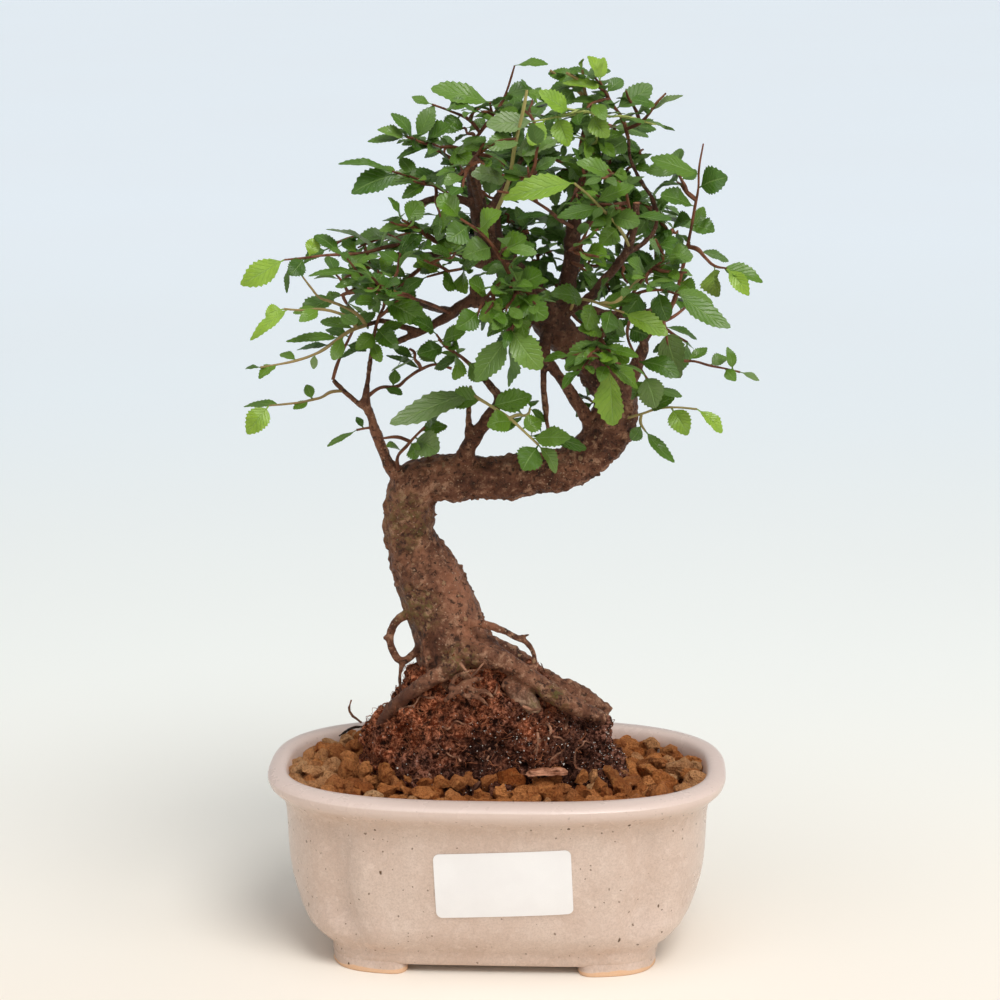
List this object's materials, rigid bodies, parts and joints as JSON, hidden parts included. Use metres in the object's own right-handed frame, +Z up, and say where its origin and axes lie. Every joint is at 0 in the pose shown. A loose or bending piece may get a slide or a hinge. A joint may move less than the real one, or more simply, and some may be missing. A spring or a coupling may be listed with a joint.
{
  "type": "potted bonsai tree",
  "caption": "Small Chinese elm bonsai with a bent trunk on a bare root ball, open leafy crown, in a speckled glazed oval-rectangular pot with grainy topping and a blank front label.",
  "frame": {"origin": "On the standing plane of the feet, under the middle of the pot, which is also under the middle of the whole part's box", "axes": "+Z up along the height, +X to the right along the pot's long side as seen from the labelled front, -Y toward the front where the label is"},
  "size_m": [0.1684, 0.1168, 0.3],
  "materials": {
    "glaze": "satin pinkish beige stoneware glaze with small dark brown specks, bare peach clay under the feet",
    "mesh_plastic": "dark green-black plastic mesh",
    "paper": "matt white paper with nothing on it",
    "soil": "dark brown damp potting soil",
    "akadama": "matt orange-brown fired clay grains, some paler",
    "dry_wood": "dry splintery reddish brown bark and twig",
    "root_mass": "reddish brown fibrous peat and fine roots with white flecks",
    "bark": "rough reddish grey brown bark with pale speckles and a little moss",
    "foliage": "thin toothed green leaves with a soft sheen on thin brown twigs"
  },
  "bodies": {
    "root": {"pot": "glaze", "drain_mesh_left": "mesh_plastic", "drain_mesh_right": "mesh_plastic", "blank_label": "paper", "growing_soil": "soil", "akadama_topping": "akadama", "bark_chip": "dry_wood", "dry_twig": "dry_wood", "root_ball": "root_mass", "trunk_and_roots": "bark", "shoot_left_tip": "foliage", "shoot_left_low": "foliage", "shoot_left_stem": "foliage", "shoot_left_fork": "foliage", "shoot_left_low_tip": "foliage", "shoot_left_base": "foliage", "shoot_corner": "foliage", "shoot_front_straw": "foliage", "shoot_centre_left": "foliage", "shoot_inner_left": "foliage", "shoot_front_right": "foliage", "shoot_right_hanging": "foliage", "shoot_right_low": "foliage", "shoot_right_tip": "foliage", "shoot_right_front": "foliage", "shoot_middle_straw": "foliage", "shoot_outer_right": "foliage", "shoot_upper_right": "foliage", "shoot_top": "foliage", "shoot_top_bright": "foliage", "shoot_straw_top": "foliage", "shoot_front_bright": "foliage", "shoot_upper_left": "foliage", "shoot_top_left": "foliage", "shoot_left_cluster": "foliage", "shoot_left_upper": "foliage", "shoot_left_middle": "foliage", "shoot_centre_dark": "foliage", "shoot_centre_front": "foliage", "shoot_crown_front_high": "foliage", "shoot_crown_front_right": "foliage", "shoot_crown_middle": "foliage", "shoot_crown_low_right": "foliage", "shoot_crown_low_left": "foliage", "shoot_back_right": "foliage", "shoot_back_middle": "foliage", "shoot_back_left": "foliage", "shoot_side_left": "foliage", "shoot_back_top": "foliage", "shoot_back_low": "foliage", "shoot_side_right": "foliage", "shoot_top_back": "foliage", "shoot_left_back": "foliage", "shoot_high_back": "foliage", "shoot_inner_back": "foliage"}
  },
  "joints": []
}
